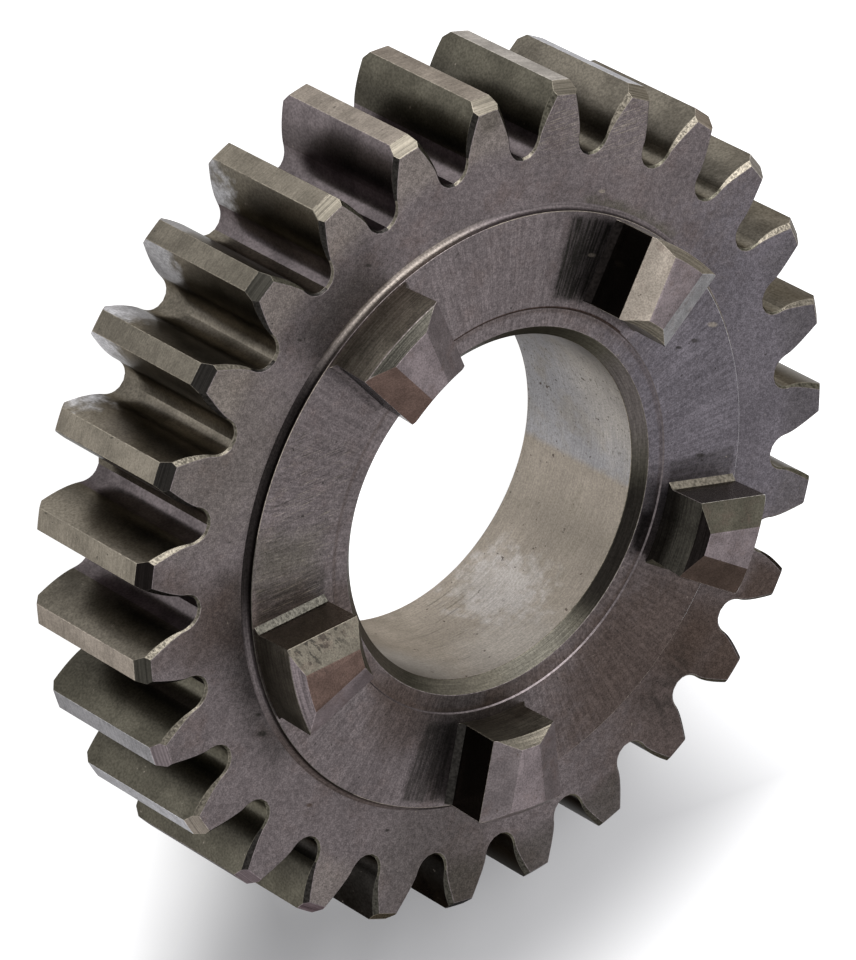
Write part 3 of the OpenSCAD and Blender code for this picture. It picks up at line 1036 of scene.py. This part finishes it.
dog_wall = Finish("dog_wall", roughness=0.4)
lines = dog_wall.mask("turning_lines", Spacing=0.14, Sweep=4.0)
dog_wall.dim(lines, 0.72, 1.25)
dog_wall.dim(dog_wall.mask("grain", Size=0.18), 0.75, 1.25)
dog_wall.dim(dog_wall.mask("clouds", Size=2.5, Cover=0.5), 0.8, 1.15)
dog_wall.carve(lines, 0.004)
dog_wall.done()

dog_flank = Finish("dog_flank", roughness=0.24)
# The flanks of the dogs at the upper right and at the bottom that face away from the light are painted black:
# painted shade
dog_flank.stain_sectors([(81, 12, OIL_AND_SHADE_BLACK, 0.8), (-81, 12, OIL_AND_SHADE_BLACK, 0.8)], soft=2.0)
dog_flank.dim(dog_flank.mask("grain", Size=0.2), 0.75, 1.25)
dog_flank.done()

dog_foot = Finish("dog_foot", roughness=0.34)
dog_foot.dim(dog_foot.mask("grain", Size=0.25), 0.55, 1.45)
dog_foot.carve(dog_foot.mask("grain", Size=0.25), 0.01)
dog_foot.done()

# Sheet: the smooth white card that the gear lies on. It shines white but for a soft fan beside the gear, whose
# outline is a painted shadow: there the glow is off, so the sheet's own grey and the gear's real shadow show.
FLOOR_HALF = 1.5
SHEET_COLOUR = (0.6, 0.6, 0.615, 1)
SHADE_BEARING = math.radians(-62.5)
SHADE_HALF_ANGLE = math.radians(39)
# Radii between which the fan lies, and how far its border fades on each side of them
SHADE_INNER = 30.0
SHADE_OUTER = 66.5
SHADE_SOFT = 14.0
floor_mesh = bpy.data.meshes.new("floor")
floor_mesh.from_pydata(
    [(x * FLOOR_HALF, y * FLOOR_HALF, 0) for x, y in ((-1, -1), (1, -1), (1, 1), (-1, 1))], [], [(0, 1, 2, 3)]
)
floor = bpy.data.objects.new("floor", floor_mesh)
scene.collection.objects.link(floor)
sheet = bpy.data.materials.new("floor_sheet")
sheet.use_nodes = True
tree = sheet.node_tree
sheet_shader = tree.nodes["Principled BSDF"]
sheet_shader.inputs["Base Color"].default_value = SHEET_COLOUR
sheet_shader.inputs["Roughness"].default_value = 0.9
sheet_shader.inputs["Specular IOR Level"].default_value = 0.0
sheet_shader.inputs["Emission Color"].default_value = (1, 1, 1, 1)
shade = group_node(
    tree,
    "sector",
    Bearing=SHADE_BEARING,
    Half_Angle=SHADE_HALF_ANGLE,
    Inner=SHADE_INNER,
    Outer=SHADE_OUTER,
    Soft=SHADE_SOFT,
    Ragged=0.0,
)
bright = reckon(tree, "SUBTRACT", 1.0, shade["Sector"])
glow = reckon(tree, "MULTIPLY", bright, seen_as_backdrop(tree, plain=0.0, seen=1.0))
feed(tree, sheet_shader.inputs["Emission Strength"], glow)
floor_mesh.materials.append(sheet)

# The finished gear is one piece of steel, so it is one closed mesh. Its convex edges are worn bright
# by a few hundredths of a millimetre.
EDGE_WEAR = 0.05
WELD = 0.0005
SHARP = math.radians(24)
worn = Finish("worn_edge", roughness=0.36)
# The rim of the hub is worn light, most of all at the right, but for two stretches: partly real wear, partly a
# painted highlight at the right and painted shade at the lower left
worn.stain_sectors(
    [(0, 180, CREAM, 0.9), (18, 37, SILVER, 0.8), (-139, 33, SMOKE, 0.95), (134, 20, PLAIN, 0.9)],
    inner=HUB_R - 0.3,
    outer=HUB_R + 0.3,
    soft=0.2,
    ragged=0.0,
)
worn.dim(worn.mask("grain", Size=0.3), 0.8, 1.8)
worn.done()

finish_names = list(finishes)
gear_mesh = bpy.data.meshes.new("gear_body")
in_metres = [tuple(length / MM_PER_METRE for length in place) for place in corners]
gear_mesh.from_pydata(in_metres, [], [f[0] for f in faces])
for name in finish_names:
    gear_mesh.materials.append(finishes[name])
gear_mesh.polygons.foreach_set("material_index", [finish_names.index(f[1]) for f in faces])
colours = gear_mesh.attributes.new("steel_colour", "FLOAT_COLOR", "CORNER")
for polygon, (_, _, colour) in zip(gear_mesh.polygons, faces):
    for loop in polygon.loop_indices:
        colours.data[loop].color = colour + (1.0,)
gear = bpy.data.objects.new("gear_body", gear_mesh)
scene.collection.objects.link(gear)

work = bmesh.new()
work.from_mesh(gear_mesh)
bmesh.ops.remove_doubles(work, verts=work.verts, dist=WELD / MM_PER_METRE)
bmesh.ops.recalc_face_normals(work, faces=work.faces)
wear_weight = work.edges.layers.float.new("bevel_weight_edge")
for edge in work.edges:
    if len(edge.link_faces) != 2:
        raise RuntimeError("the gear's mesh is open")
    bend = edge.calc_face_angle(0.0)
    edge.smooth = bend < SHARP
    in_step = any(finish_names[f.material_index] == "step_edge" for f in edge.link_faces)
    edge[wear_weight] = 1.0 if bend >= SHARP and edge.is_convex and not in_step else 0.0
for f in work.faces:
    f.smooth = True
work.to_mesh(gear_mesh)
work.free()
wear = gear.modifiers.new("worn_edges", "BEVEL")
wear.width = EDGE_WEAR / MM_PER_METRE
wear.segments = 2
wear.limit_method = "WEIGHT"
wear.use_clamp_overlap = False
wear.harden_normals = True
wear.material = finish_names.index("worn_edge")

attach(gear, "root")
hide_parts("gear")
